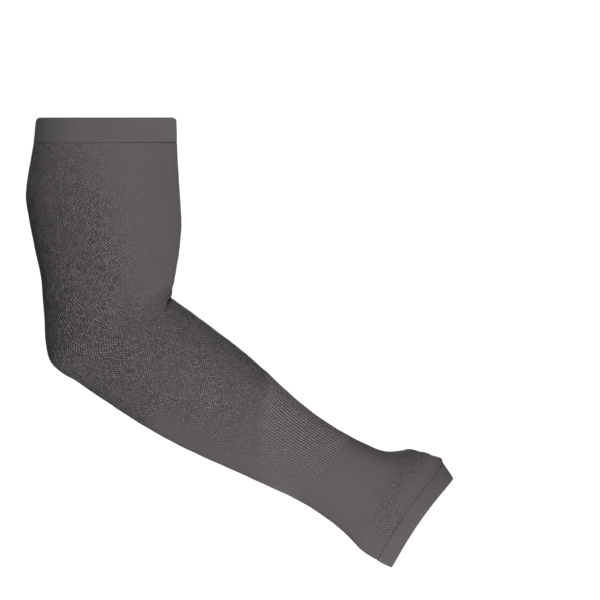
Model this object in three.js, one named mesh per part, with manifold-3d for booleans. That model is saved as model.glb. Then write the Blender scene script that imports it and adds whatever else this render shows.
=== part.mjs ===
// A knitted sun sleeve in the form it takes on a bent right arm. Millimetres, +Z up.
// The origin is the middle of the upper-arm opening, and the upper arm runs straight down from it.
// +X is the front of the arm, where the elbow folds. -Y is its outer side, with the back of the hand,
// and +Y its inner side, with the palm.
import * as THREE from "three";
import { mergeVertices } from "three/addons/utils/BufferGeometryUtils.js";
import Module from "manifold-3d";

const wasm = await Module();
wasm.setup();

// Where the zones of the sleeve begin and end, along the arm's axis from the top edge
const BAND_END = 19.5;
const RIB_START = 283;
const RIB_END = 370;
const HEM_START = 446;
const SLEEVE_END = 459;
const ZONE_GAP = 0.3;

// The arm's axis: straight, then an arc at the elbow, then straight again
const ELBOW_START = 133;
const ELBOW_LENGTH = 59.5;
const ELBOW_FLEX = THREE.MathUtils.degToRad(55);
const ELBOW_RADIUS = ELBOW_LENGTH / ELBOW_FLEX;
const ELBOW_END = ELBOW_START + ELBOW_LENGTH;

// The cloth: a single knit, and hems of that knit folded double, which stand out a little
const KNIT_WALL = 1.2;
const HEM_WALL = 2;
const HEM_RISE = 0.4;
const PLAIN_GREY = 0x5f5b5c;
const HEM_GREY = 0x656162;
const KNIT_ROUGHNESS = 0.92;

// The ribs run along the forearm. They begin earlier at its front than at its back, and fade in.
const RIB_COUNT = 80;
const RIB_HEIGHT = 0.7;
const RIB_FRONT_START = 284;
const RIB_BACK_START = 318;
const RIB_FADE = 5;

// The fold in the crook of the elbow: a dent across the front, which runs down the forearm at its ends
const CROOK_ALONG = 185;
const CROOK_DEPTH = 2;
const CROOK_WIDTH = 6;
const CROOK_REACH = 28;
const CROOK_SWEEP = 10;

// The thumb hole: an oval on the front of the hand, moved to the palm's side, with a turned edge
const HOLE_CENTRE = 429;
const HOLE_SIDE = 13;
const HOLE_LENGTH = 27;
const HOLE_WIDTH = 23;
const HOLE_EDGE = 1.6;
const EDGE_RISE = 0.3;
const HOLE_CUT_START = 26;
const HOLE_CUT_LENGTH = 52;

// The hem bows up the arm between the front and the back of the hand, and draws the cloth before it along
const HEM_BOW = 3.4;
const BOW_START = 400;

// How finely the faces are divided: points around the arm, and the longest step along it
const AROUND = 36;
const LONG_STEP = 14;
const RIB_STEP = 22;
const SHORT_STEP = 7;
const FOLD_POINTS = 3;
const HOLE_POINTS = 28;
const SECTION_DIVISIONS = 720;

// Cross-sections of the cloth's outside. front, back, outer and inner are its reaches from the axis.
// lean moves its front towards the palm, and fullness squares it: 2 is an oval.
const SECTIONS = [
  { along: 0, front: 55.6, back: 55.6, outer: 46, inner: 46, lean: 0, fullness: 2.7 },
  { along: 20, front: 56.4, back: 58, outer: 47, inner: 47, lean: 0, fullness: 2.5 },
  { along: 40, front: 57.4, back: 61.6, outer: 48.5, inner: 48.5, lean: 0, fullness: 2.2 },
  { along: 62, front: 58.8, back: 64.4, outer: 50, inner: 50, lean: 0, fullness: 2.05 },
  { along: 86, front: 60, back: 61, outer: 49.5, inner: 49.5, lean: 0, fullness: 2 },
  { along: 110, front: 57.8, back: 56.2, outer: 47, inner: 47, lean: 0, fullness: 2 },
  { along: 133, front: 54, back: 51.8, outer: 44, inner: 44, lean: 0, fullness: 2 },
  { along: 148, front: 52.8, back: 53, outer: 42.5, inner: 42.5, lean: 0, fullness: 2 },
  { along: 158, front: 51.8, back: 58.4, outer: 42, inner: 42, lean: 0, fullness: 2 },
  { along: 166, front: 51, back: 61.6, outer: 42, inner: 42, lean: 0, fullness: 2 },
  { along: 172, front: 50.4, back: 59, outer: 42.5, inner: 42, lean: 0, fullness: 2 },
  { along: 178, front: 49.6, back: 54.6, outer: 43, inner: 42, lean: 0, fullness: 2 },
  { along: 186, front: 48.6, back: 51.8, outer: 43.5, inner: 42, lean: 0, fullness: 2 },
  { along: 194, front: 47.2, back: 51, outer: 44.5, inner: 42.5, lean: 0, fullness: 2 },
  { along: 212, front: 46.8, back: 50.6, outer: 45, inner: 42.5, lean: 0, fullness: 2 },
  { along: 236, front: 46, back: 49.3, outer: 43.5, inner: 41, lean: 0, fullness: 2 },
  { along: 260, front: 45, back: 46.8, outer: 40.5, inner: 39, lean: 0, fullness: 2 },
  { along: 285, front: 42.3, back: 42.7, outer: 36.5, inner: 36, lean: 0, fullness: 2 },
  { along: 311, front: 38.5, back: 37.6, outer: 32, inner: 32, lean: 0, fullness: 2.05 },
  { along: 336, front: 36.5, back: 33, outer: 27.5, inner: 28, lean: 0, fullness: 2.1 },
  { along: 360, front: 37, back: 28.5, outer: 23.5, inner: 24.5, lean: 0, fullness: 2.15 },
  { along: 381, front: 39.6, back: 26.6, outer: 21.5, inner: 23, lean: 1, fullness: 2.2 },
  { along: 401, front: 44.2, back: 26.7, outer: 20.5, inner: 23.5, lean: 4, fullness: 2.3 },
  { along: 409, front: 49.4, back: 27.3, outer: 20, inner: 24.5, lean: 7, fullness: 2.35 },
  { along: 416, front: 56.2, back: 28.4, outer: 19.5, inner: 26, lean: 10, fullness: 2.4 },
  { along: 422, front: 62.5, back: 29.6, outer: 19.5, inner: 27, lean: 12, fullness: 2.4 },
  { along: 431, front: 67.6, back: 31.2, outer: 19.5, inner: 27.5, lean: 13, fullness: 2.4 },
  { along: 440, front: 66, back: 31.3, outer: 19.5, inner: 26.5, lean: 11, fullness: 2.4 },
  { along: 447, front: 62.2, back: 30.5, outer: 19.5, inner: 25, lean: 7, fullness: 2.35 },
  { along: 459, front: 57.6, back: 29, outer: 20, inner: 23, lean: 3, fullness: 2.3 },
];
const SECTION_COLUMNS = ["front", "back", "outer", "inner", "lean", "fullness"];

const sectionSizes = new THREE.CubicInterpolant(
  SECTIONS.map((row) => row.along),
  SECTIONS.flatMap((row) => SECTION_COLUMNS.map((column) => row[column])),
  SECTION_COLUMNS.length,
);

// The depth of the crook's fold at a place along the axis and a distance sideways from the front
function crookDepth(along, sideways) {
  const share = Math.min(Math.abs(sideways) / CROOK_REACH, 1);
  const middle = CROOK_ALONG + CROOK_SWEEP * share ** 2;
  return CROOK_DEPTH * (1 - share ** 2) * Math.exp(-(((along - middle) / CROOK_WIDTH) ** 2));
}

// One cross-section, of four quarter ovals. x is towards the front and y towards the inner side.
class ArmSection extends THREE.Curve {
  constructor(along, inset) {
    super();
    this.along = along;
    const [front, back, outer, inner, lean, fullness] = sectionSizes.evaluate(along);
    this.front = front - inset;
    this.back = back - inset;
    this.outer = outer - inset;
    this.inner = inner - inset;
    this.lean = lean;
    this.power = 2 / fullness;
    this.arcLengthDivisions = SECTION_DIVISIONS;
  }

  getPoint(t, target = new THREE.Vector3()) {
    const cos = Math.cos(2 * Math.PI * t);
    const sin = Math.sin(2 * Math.PI * t);
    const reach = cos > 0 ? this.front : this.back;
    const side = sin > 0 ? this.inner : this.outer;
    const x = reach * Math.sign(cos) * Math.abs(cos) ** this.power;
    const y = side * Math.sign(sin) * Math.abs(sin) ** this.power;
    const frontness = Math.max(x, 0) / this.front;
    const dent = frontness * crookDepth(this.along, y);
    return target.set(x - dent, y + this.lean * frontness ** 2, 0);
  }
}

// The frame of a cross-section, seen from the top edge: x to the front, y to the inner side, z up the arm
function bentFrame(along) {
  const bent = THREE.MathUtils.clamp(along - ELBOW_START, 0, ELBOW_LENGTH);
  const before = Math.min(along, ELBOW_START);
  const after = Math.max(along - ELBOW_END, 0);
  const angle = bent / ELBOW_RADIUS;
  const x = ELBOW_RADIUS * (1 - Math.cos(angle)) + after * Math.sin(angle);
  const z = -before - ELBOW_RADIUS * Math.sin(angle) - after * Math.cos(angle);
  return new THREE.Matrix4().makeRotationY(-angle).setPosition(x, 0, z);
}

// The same past the elbow, where the axis is straight, seen from a place on it
function straightFrameFrom(start) {
  return (along) => new THREE.Matrix4().makeTranslation(0, 0, start - along);
}

// 0 at the back of a section and 1 at its front
function frontShare(section, x) {
  return THREE.MathUtils.inverseLerp(-section.back, section.front, x);
}

// How far a place is moved up the arm by the bow of the hem
function hemBow(along, section, x) {
  const share = frontShare(section, x);
  return HEM_BOW * 4 * share * (1 - share) * THREE.MathUtils.smoothstep(along, BOW_START, HEM_START);
}

// How far the ribs stand out at a place: 1 where they are full and 0 where the knit is plain
function ribStrength(along, section, x) {
  const frontness = frontShare(section, x);
  const start = THREE.MathUtils.lerp(RIB_BACK_START, RIB_FRONT_START, frontness);
  return THREE.MathUtils.smoothstep(along, start, start + RIB_FADE);
}

// The points of one ring of cloth, evenly spaced round the arm. With ribs, every other point is a crest.
function ring(along, inset, frameAt, ribbed) {
  const count = ribbed ? 2 * RIB_COUNT : AROUND;
  const section = new ArmSection(along, inset);
  const spaced = section.getSpacedPoints(count).slice(0, count);
  const frame = frameAt(along);
  return spaced.map((point, i) => {
    const moved = point.clone();
    moved.z += hemBow(along, section, point.x);
    if (ribbed) {
      const next = spaced[(i + 1) % count];
      const last = spaced[(i + count - 1) % count];
      const outward = new THREE.Vector3(next.y - last.y, last.x - next.x, 0).normalize();
      const side = i % 2 === 0 ? 1 : -1;
      moved.addScaledVector(outward, (side * ribStrength(along, section, point.x) * RIB_HEIGHT) / 2);
    }
    return moved.applyMatrix4(frame);
  });
}

// A closed wall. Its profile is a loop of places, down the outer face and back up the inner one.
function wallGeometry(profile, frameAt, ribbed = false) {
  const rings = profile.map(({ along, inset }) => ring(along, inset, frameAt, ribbed));
  const count = rings[0].length;
  const index = [];
  for (let r = 0; r < rings.length; r++) {
    const nextRing = (r + 1) % rings.length;
    for (let i = 0; i < count; i++) {
      const j = (i + 1) % count;
      const a = r * count + i;
      const b = r * count + j;
      const c = nextRing * count + j;
      const d = nextRing * count + i;
      index.push(a, d, b, b, d, c);
    }
  }
  return new THREE.BufferGeometry().setFromPoints(rings.flat()).setIndex(index);
}

// Even places from one end of a zone to the other, both ends included
function places(from, to, longest) {
  const steps = Math.ceil(Math.abs(to - from) / longest);
  return Array.from({ length: steps + 1 }, (_, i) => from + ((to - from) * i) / steps);
}

// The profile of a wall with square ends, through places along the arm
function wallProfile(alongs, rise, thickness) {
  const outside = alongs.map((along) => ({ along, inset: -rise }));
  const inside = alongs.map((along) => ({ along, inset: thickness - rise }));
  return [...outside, ...inside.reverse()];
}

// The profile of a hem: a double wall from its seam to its edge, where it is folded round
function hemProfile(seam, edge) {
  const radius = HEM_WALL / 2;
  const way = Math.sign(edge - seam);
  const alongs = places(seam + (way * ZONE_GAP) / 2, edge - way * radius, SHORT_STEP);
  const walls = wallProfile(alongs, HEM_RISE, HEM_WALL);
  const fold = Array.from({ length: FOLD_POINTS }, (_, i) => {
    const turn = (Math.PI * (i + 1)) / (FOLD_POINTS + 1);
    return {
      along: edge - way * radius * (1 - Math.sin(turn)),
      inset: radius * (1 - Math.cos(turn)) - HEM_RISE,
    };
  });
  const profile = [...walls.slice(0, alongs.length), ...fold, ...walls.slice(alongs.length)];
  return way > 0 ? profile : profile.reverse();
}

// An oval prism out through the front of the hand, larger than the thumb hole by a margin all round
function holePrism(margin, frameAt) {
  const oval = new THREE.Shape();
  oval.absellipse(0, 0, HOLE_LENGTH / 2 + margin, HOLE_WIDTH / 2 + margin, 0, 2 * Math.PI);
  const curveSegments = HOLE_POINTS / 2;
  return new THREE.ExtrudeGeometry(oval, { depth: HOLE_CUT_LENGTH, bevelEnabled: false, curveSegments })
    .rotateY(Math.PI / 2)
    .translate(HOLE_CUT_START, HOLE_SIDE, 0)
    .applyMatrix4(frameAt(HOLE_CENTRE));
}

// A closed geometry as a solid that can be cut
function solidOf(geometry) {
  const bare = geometry.clone();
  bare.deleteAttribute("normal");
  bare.deleteAttribute("uv");
  const merged = mergeVertices(bare);
  const vertProperties = merged.getAttribute("position").array;
  const triVerts = new Uint32Array(merged.getIndex().array);
  return new wasm.Manifold(new wasm.Mesh({ numProp: 3, vertProperties, triVerts }));
}

// A cut solid as a geometry again
function geometryOf(solid) {
  const { vertProperties, triVerts } = solid.getMesh();
  return new THREE.BufferGeometry()
    .setAttribute("position", new THREE.BufferAttribute(vertProperties, 3))
    .setIndex(new THREE.BufferAttribute(triVerts, 1));
}

// A named mesh with its own cloth material
function clothMesh(name, geometry, color) {
  geometry.computeVertexNormals();
  const material = new THREE.MeshStandardMaterial({ color, roughness: KNIT_ROUGHNESS, metalness: 0 });
  const mesh = new THREE.Mesh(geometry, material);
  mesh.name = name;
  return mesh;
}

function upperBand() {
  return clothMesh("upper_band", wallGeometry(hemProfile(BAND_END, 0), bentFrame), HEM_GREY);
}

// A plain stretch of the tube, between two places along the arm
function plainTube(name, from, to, longest, frameAt) {
  const alongs = places(from + ZONE_GAP / 2, to - ZONE_GAP / 2, longest);
  return clothMesh(name, wallGeometry(wallProfile(alongs, 0, KNIT_WALL), frameAt), PLAIN_GREY);
}

function upperArmTube() {
  return plainTube("upper_arm_tube", BAND_END, ELBOW_START, LONG_STEP, bentFrame);
}

function elbowTube() {
  return plainTube("elbow_tube", ELBOW_START, ELBOW_END, SHORT_STEP, bentFrame);
}

function forearmTube() {
  return plainTube("forearm_tube", ELBOW_END, RIB_START, LONG_STEP, straightFrameFrom(ELBOW_END));
}

function forearmRib() {
  const frameAt = straightFrameFrom(ELBOW_END);
  const alongs = places(RIB_START + ZONE_GAP / 2, RIB_END - ZONE_GAP / 2, RIB_STEP);
  const geometry = wallGeometry(wallProfile(alongs, 0, KNIT_WALL), frameAt, true);
  return clothMesh("forearm_rib", geometry, PLAIN_GREY);
}

function handCover() {
  const frameAt = straightFrameFrom(RIB_END);
  const alongs = places(RIB_END + ZONE_GAP / 2, HEM_START - ZONE_GAP / 2, SHORT_STEP);
  const wall = solidOf(wallGeometry(wallProfile(alongs, 0, KNIT_WALL), frameAt));
  const hole = solidOf(holePrism(HOLE_EDGE + ZONE_GAP, frameAt));
  return clothMesh("hand_cover", geometryOf(wall.subtract(hole)), PLAIN_GREY);
}

function thumbHoleEdge() {
  const frameAt = straightFrameFrom(RIB_END);
  const alongs = places(RIB_END, HEM_START, SHORT_STEP);
  const profile = wallProfile(alongs, EDGE_RISE, KNIT_WALL + 2 * EDGE_RISE);
  const wall = solidOf(wallGeometry(profile, frameAt));
  const edge = solidOf(holePrism(HOLE_EDGE, frameAt)).subtract(solidOf(holePrism(0, frameAt)));
  return clothMesh("thumb_hole_edge", geometryOf(wall.intersect(edge)), HEM_GREY);
}

function handHem() {
  const frameAt = straightFrameFrom(RIB_END);
  return clothMesh("hand_hem", wallGeometry(hemProfile(HEM_START, SLEEVE_END), frameAt), HEM_GREY);
}

// The hand's zone starts where the ribs end, on the forearm's axis
const hand = new THREE.Group();
hand.position.z = ELBOW_END - RIB_END;
hand.add(handCover(), thumbHoleEdge(), handHem());

// The forearm starts where the axis leaves the elbow's arc, turned by the elbow's flex
const forearm = new THREE.Group();
forearm.position.setFromMatrixPosition(bentFrame(ELBOW_END));
forearm.rotation.y = -ELBOW_FLEX;
forearm.add(forearmTube(), forearmRib(), hand);

const sleeve = new THREE.Group();
sleeve.name = "sun_sleeve";
sleeve.add(upperBand(), upperArmTube(), elbowTube(), forearm);

export default sleeve;
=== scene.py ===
"""The knitted cloth of a sun sleeve, in the bent form in which it is worn, and the studio it is shown in.

Metres, +Z up. The origin is the middle of the upper opening. +X is the front of the sleeve, to which it
bends, -Y its outer side and +Y its inner or palm side. A place on the cloth has two values.
along is its distance down the sleeve's axis from the top edge. turn is its share of the way round the axis:
0 at the front, 0.25 on the inner side, 0.5 at the back and 0.75 on the outer side.
"""

import math

import bpy
import numpy as np
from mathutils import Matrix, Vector


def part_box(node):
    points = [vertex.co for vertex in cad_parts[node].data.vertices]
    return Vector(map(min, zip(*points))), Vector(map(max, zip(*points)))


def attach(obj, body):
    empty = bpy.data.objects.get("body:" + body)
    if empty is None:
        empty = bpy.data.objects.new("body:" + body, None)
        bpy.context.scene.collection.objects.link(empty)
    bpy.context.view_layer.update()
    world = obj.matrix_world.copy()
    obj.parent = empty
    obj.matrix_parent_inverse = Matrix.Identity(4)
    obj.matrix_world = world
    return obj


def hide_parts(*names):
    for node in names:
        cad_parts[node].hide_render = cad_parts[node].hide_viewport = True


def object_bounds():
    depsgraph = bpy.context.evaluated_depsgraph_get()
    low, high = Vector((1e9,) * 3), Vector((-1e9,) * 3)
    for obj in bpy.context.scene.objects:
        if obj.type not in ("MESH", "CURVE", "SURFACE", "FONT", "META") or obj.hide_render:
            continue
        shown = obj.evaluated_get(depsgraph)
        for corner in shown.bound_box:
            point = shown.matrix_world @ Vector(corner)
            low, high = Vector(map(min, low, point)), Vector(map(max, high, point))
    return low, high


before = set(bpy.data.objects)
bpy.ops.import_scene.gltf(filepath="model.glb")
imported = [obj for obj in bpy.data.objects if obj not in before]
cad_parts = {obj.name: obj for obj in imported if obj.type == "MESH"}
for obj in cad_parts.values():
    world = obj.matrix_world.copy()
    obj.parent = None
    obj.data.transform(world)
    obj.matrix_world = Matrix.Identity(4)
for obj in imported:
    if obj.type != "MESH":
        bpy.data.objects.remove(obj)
CAD_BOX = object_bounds()

bl_info = {
    "name": "Sun sleeve",
    "version": (1, 0, 0),
    "blender": (4, 5, 0),
    "location": "3D View > Sidebar > Sun sleeve",
    "description": "Knits a sun sleeve and sets up its studio",
    "category": "Object",
}

MM = 0.001

# Where the zones of the sleeve begin and end along its axis, and the gap from a zone's edge to its piece
BAND_END = 19.5 * MM
RIB_START = 283 * MM
RIB_END = 370 * MM
HEM_START = 446 * MM
SLEEVE_END = 459 * MM
ZONE_GAP = 0.02 * MM

# The sleeve's axis: straight, then an arc at the elbow, then straight again
ELBOW_START = 133 * MM
ELBOW_LENGTH = 59.5 * MM
ELBOW_FLEX = math.radians(55)
ELBOW_RADIUS = ELBOW_LENGTH / ELBOW_FLEX
ELBOW_END = ELBOW_START + ELBOW_LENGTH

# The cloth: a single knit, and hems of that knit folded double. The knit dips at a hem's seam, and SEAM_LEAST
# is the share of that dip where the seam is loose.
KNIT_WALL = 1.2 * MM
HEM_WALL = 2.0 * MM
HEM_RISE = 0.2 * MM
HEM_CROWN = 0.15 * MM
HEM_CORNER = 0.3 * MM
SEAM_DEPTH = 0.5 * MM
SEAM_WIDTH = 0.5 * MM
SEAM_LEAST = 0.2

# The ribs begin earlier at the front of the forearm than at its back, and fade in. Each rib begins up to the
# spread later, by a wave over the ribs' numbers. The ribs fan by a share of a turn where they begin, and they
# end on a slant.
RIB_FRONT_START = 280 * MM
RIB_BACK_START = 324 * MM
RIB_FRONT_FADE = 10 * MM
RIB_BACK_FADE = 24 * MM
RIB_START_SPREAD = 5 * MM
RIB_START_BEAT = 2.4
RIB_FAN = 0.05
RIB_FAN_REACH = 34 * MM
RIB_END_FADE = 2.4 * MM
RIB_END_SLANT = 3.2 * MM
RIB_SLANT_REACH = 26 * MM

# The form of a rib: its points lie closer on the broad sides of the sleeve, its crest is sharper than its
# valley, and its wave is sunk below the plain knit by a share of half the rib's height
POINTS_PER_RIB = 8
RIB_SIDE_WEIGHT = 0.6
RIB_SHARPNESS = 0.18
RIB_SINK = 0.6

# Painted light and shade of a rib: the painted lift lightens crest and valley alike, and is full from
# RIB_LIFT_FRONT to the front. The contrast paints a highlight on the crest and shade in the valley, and grows
# to the front. Full ribs show their stitches by RIB_SHOW.
RIB_PAINTED_LIFT = 0.24
RIB_BACK_PAINTED_LIFT = 0.12
RIB_LIFT_FRONT = 0.4
RIB_PAINTED_CONTRAST = 0.3
RIB_FRONT_PAINTED_CONTRAST = 0.35
RIB_SHOW = 0.7

# The fold in the crook of the elbow: a wide dent, and a narrow crease along its middle. The crease fades in
# over CREASE_CLEAR of its reach, from the very front to the sides.
CROOK_ALONG = 185 * MM
CROOK_DEPTH = 2 * MM
CROOK_WIDTH = 6 * MM
CROOK_REACH = 28 * MM
CROOK_SWEEP = 10 * MM
CREASE_WIDTH = 3.0 * MM
CREASE_REACH = 32 * MM
CREASE_CLEAR = 0.3
CREASE_STEP = 0.4 * MM
CREASE_MARGIN = 3 * CREASE_WIDTH

# The thumb hole: an oval on the front of the hand cover, moved to the palm side, with a turned edge. Only
# places that lie further to the front than HOLE_FRONT can be in it.
HOLE_CENTRE = 429 * MM
HOLE_SIDE = 13 * MM
HOLE_LENGTH = 27 * MM
HOLE_WIDTH = 23 * MM
HOLE_EDGE = 1.6 * MM
EDGE_RISE = 0.3 * MM
HOLE_FRONT = 26 * MM

# The hem bows up the sleeve between its front and its back, and draws the cloth before it along
HEM_BOW = 3.4 * MM
BOW_START = 400 * MM

# The top edge is rounded off where it turns from the outer side to the inner one
TOP_DROP = 1.2 * MM
TOP_DROP_FROM = 0.955
TOP_DROP_DEPTH = 5 * MM

# The stretched cloth is slightly uneven, with a swell and a finer ripple. PER_METRE is in radians along the
# sleeve, ROUND counts waves round it, and PHASE is in radians.
SWELL_HEIGHT = 0.07 * MM
SWELL_PER_METRE = 310
SWELL_ROUND = 5
SWELL_BEAT_ROUND = 3
SWELL_BEAT_PHASE = 1.3
RIPPLE_HEIGHT = 0.03 * MM
RIPPLE_PER_METRE = 570
RIPPLE_ROUND = -9
RIPPLE_PHASE = 0.7

# Cloth that is stretched smooth shows its stitches least: on the front of the upper tube, in a zone that
# narrows to the elbow, along the back of the forearm tube, round the hand cover after the ribs, and in front
# beside the hem. Each pair is where the smoothness begins and where it is full, along the sleeve or as a
# share of the way to its front.
LEAST_SHOW = 0.12
UPPER_SMOOTH_ALONG = np.array([168, 132]) * MM
UPPER_SMOOTH_FRONT = (0.22, 0.62)
UPPER_SMOOTH_NARROWING = 0.25
LOWER_SMOOTH_ALONG = np.array([225, 245]) * MM
LOWER_SMOOTH_FRONT = (0.35, 0.05)
HAND_SMOOTH_START = np.array([360, 370]) * MM
HAND_SMOOTH_END = np.array([432, 408]) * MM
HEM_SMOOTH_ALONG = np.array([427, 439]) * MM
HEM_SMOOTH_FRONT = (0.4, 0.6)

# How clearly the stitches show along the sleeve where they aren't stretched smooth
SHOW_ALONG = np.array([20, 70, 130, 180, 225, 275, 305, 390, 425]) * MM
SHOW_THERE = (0.5, 1.0, 0.9, 0.78, 0.7, 0.68, 0.45, 0.45, 0.6)

# The stitches: how many stand round the sleeve, how high one is, and in stitches how far its legs lean and
# how far it strays. A purl loop sways by a share of its height. MEAN_ARCH is the mean height of a round
# yarn's arch.
WALES = 240
COURSE = 1.1 * MM
STITCH_SLANT = 1.3
STITCH_UNEVENNESS = 1.5
STRAY_SCALE = 300.0
PURL_SWAY = 0.22
MEAN_ARCH = math.pi / 4

# The yarn's shade: soft clouds change how far the stitches show and how light the yarn is. No stitch is
# darker than a share of its yarn's colour, and the gaps are rougher than the crests.
CLOUD_SCALE = 55.0
CLOUD_DETAIL = 3.0
CLOUD_ROUGHNESS = 0.55
CLOUD_RANGE = (0.35, 0.65)
CLOUD_SHOW = (0.6, 1.0)
CLOUD_SHADE = 0.12
DARKEST_STITCH = 0.1
CREST_ROUGHNESS = 0.84
GAP_ROUGHENING = 0.1
DIFFUSE_ROUGHNESS = 0.5
SPECULAR_LEVEL = 0.15

# How finely the cloth is divided. The probes are the steps from a place that find the cloth's slope there.
AROUND = 240
TUBE_STEP = 1.5 * MM
RIB_STEP = 2.4 * MM
COVER_STEP = 1.0 * MM
HEM_STEP = 0.8 * MM
INSIDE_STEP = 4.0 * MM
SEAM_ROWS = np.array([0, 0.25, 0.5, 0.8, 1.2, 1.7, 2.4]) * MM
CORNER_POINTS = 6
FOLD_POINTS = 13
EDGE_POINTS = 168
EDGE_SIDES = 16
SECTION_DIVISIONS = 720
PLACE_DECIMALS = 7
PROBE_ALONG = 0.2 * MM
PROBE_TURN = 0.0004
SHARP_ANGLE = math.radians(70)

# The sides of a cell of the cloth: the step to the cell beyond, and the side's first and last corner
CELL_SIDES = (
    ((-1, 0), (0, 1), (0, 0)),
    ((1, 0), (1, 0), (1, 1)),
    ((0, -1), (0, 0), (1, 0)),
    ((0, 1), (1, 1), (0, 1)),
)

# Cross-sections of the cloth's outside, in millimetres apart from fullness. front, back, outer and inner
# are reaches from the axis. lean moves the front to the palm side, and fullness squares: 2 is an oval.
SECTION_COLUMNS = ("along", "front", "back", "outer", "inner", "lean", "fullness")
SECTIONS = np.array([
    (0, 55.6, 55.6, 46, 46, 0, 2.7),
    (20, 56.4, 58, 47, 47, 0, 2.5),
    (40, 57.4, 61.6, 48.5, 48.5, 0, 2.2),
    (62, 58.8, 64.4, 50, 50, 0, 2.05),
    (86, 60, 61, 49.5, 49.5, 0, 2),
    (110, 57.8, 56.2, 47, 47, 0, 2),
    (133, 54, 51.8, 44, 44, 0, 2),
    (148, 52.8, 53, 42.5, 42.5, 0, 2),
    (158, 51.8, 58.4, 42, 42, 0, 2),
    (166, 51, 61.6, 42, 42, 0, 2),
    (172, 50.4, 59, 42.5, 42, 0, 2),
    (178, 49.6, 54.6, 43, 42, 0, 2),
    (186, 48.6, 51.8, 43.5, 42, 0, 2),
    (194, 47.2, 51, 44.5, 42.5, 0, 2),
    (212, 46.8, 50.6, 45, 42.5, 0, 2),
    (236, 46, 49.3, 43.5, 41, 0, 2),
    (260, 45, 46.8, 40.5, 39, 0, 2),
    (285, 42.3, 42.7, 36.5, 36, 0, 2),
    (311, 38.5, 37.6, 32, 32, 0, 2.05),
    (336, 36.5, 33, 27.5, 28, 0, 2.1),
    (360, 37, 28.5, 23.5, 24.5, 0, 2.15),
    (381, 39.6, 26.6, 21.5, 23, 1, 2.2),
    (401, 44.2, 26.7, 20.5, 23.5, 4, 2.3),
    (409, 49.4, 27.3, 20, 24.5, 7, 2.35),
    (416, 56.2, 28.4, 19.5, 26, 10, 2.4),
    (422, 62.5, 29.6, 19.5, 27, 12, 2.4),
    (431, 67.6, 31.2, 19.5, 27.5, 13, 2.4),
    (440, 66, 31.3, 19.5, 26.5, 11, 2.4),
    (447, 62.2, 30.5, 19.5, 25, 7, 2.35),
    (459, 57.6, 29, 20, 23, 3, 2.3),
]) * np.array([MM, MM, MM, MM, MM, MM, 1])

# The stitches' own map on each piece, where u is the share of the way round and v the metres along, and the
# values at a piece's points that its material reads
KNIT_MAP = "KnitMap"
KNIT_SHOW = "knit_show"
RIB_PAINTED_LIGHT = "rib_light"

# The picture: the place in its middle, how much of that place's plane shows, and the floor under the sleeve
VIEW_MIDDLE = Vector((0.1548, 0, -0.146))
VIEW_SPAN = 0.48
CAMERA_AWAY = 5.0
SENSOR = 36.0
FLOOR_DROP = 2 * MM
FLOOR_RADIUS = 14.0
FLOOR_POINTS = 64
VIEW_DEPTH = 4 * FLOOR_RADIUS
GROUND_GLOW = 1.03

# The lights: where each stands, seen from the picture's middle, and how wide it is
LIGHTS = {
    "key": ((0.42, -0.73, -0.85), 0.6),
    "right": ((0.3, -1.1, 0.1), 0.6),
    "left": ((-0.9, -0.8, 0.2), 0.6),
    "top": ((-0.09, -0.34, 0.61), 0.35),
    "back": ((-0.2, 2.4, 0.3), 1.2),
}

# How far a piece's box may lie from the box of the nodes it replaces
PLACE_TOLERANCE = 3 * MM


class SleeveSizes(bpy.types.PropertyGroup):
    """Sizes of the knit that can be changed without changing the sleeve's form"""

    wales: bpy.props.IntProperty(
        name="Wales",
        description="Columns of stitches round the sleeve",
        default=WALES,
        min=40,
    )
    course: bpy.props.FloatProperty(
        name="Course",
        description="Height of one row of stitches",
        default=COURSE,
        unit="LENGTH",
        precision=5,
    )
    stitch_relief: bpy.props.FloatProperty(
        name="Stitch relief",
        description="How far a stitch stands out of the gaps beside it",
        default=0.3 * MM,
        unit="LENGTH",
        precision=5,
    )
    rib_count: bpy.props.IntProperty(
        name="Ribs",
        description="Ribs round the forearm",
        default=80,
        min=12,
    )
    rib_height: bpy.props.FloatProperty(
        name="Rib height",
        description="Height of a rib's crest above the valley",
        default=0.8 * MM,
        unit="LENGTH",
        precision=5,
    )
    crease_depth: bpy.props.FloatProperty(
        name="Crook crease",
        description="Depth of the narrow crease in the crook of the elbow",
        default=3.0 * MM,
        unit="LENGTH",
        precision=5,
    )


class SleeveColours(bpy.types.PropertyGroup):
    """Colours of the yarn"""

    knit: bpy.props.FloatVectorProperty(
        name="Knit",
        description="Yarn of the plain knit",
        default=(0.157, 0.143, 0.147),
        subtype="COLOR",
        min=0,
        max=1,
    )
    hem: bpy.props.FloatVectorProperty(
        name="Hem",
        description="Yarn of the folded hems",
        default=(0.168, 0.154, 0.157),
        subtype="COLOR",
        min=0,
        max=1,
    )
    edge: bpy.props.FloatVectorProperty(
        name="Thumb hole edge",
        description="Yarn of the turned edge of the thumb hole",
        default=(0.139, 0.127, 0.130),
        subtype="COLOR",
        min=0,
        max=1,
    )


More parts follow.
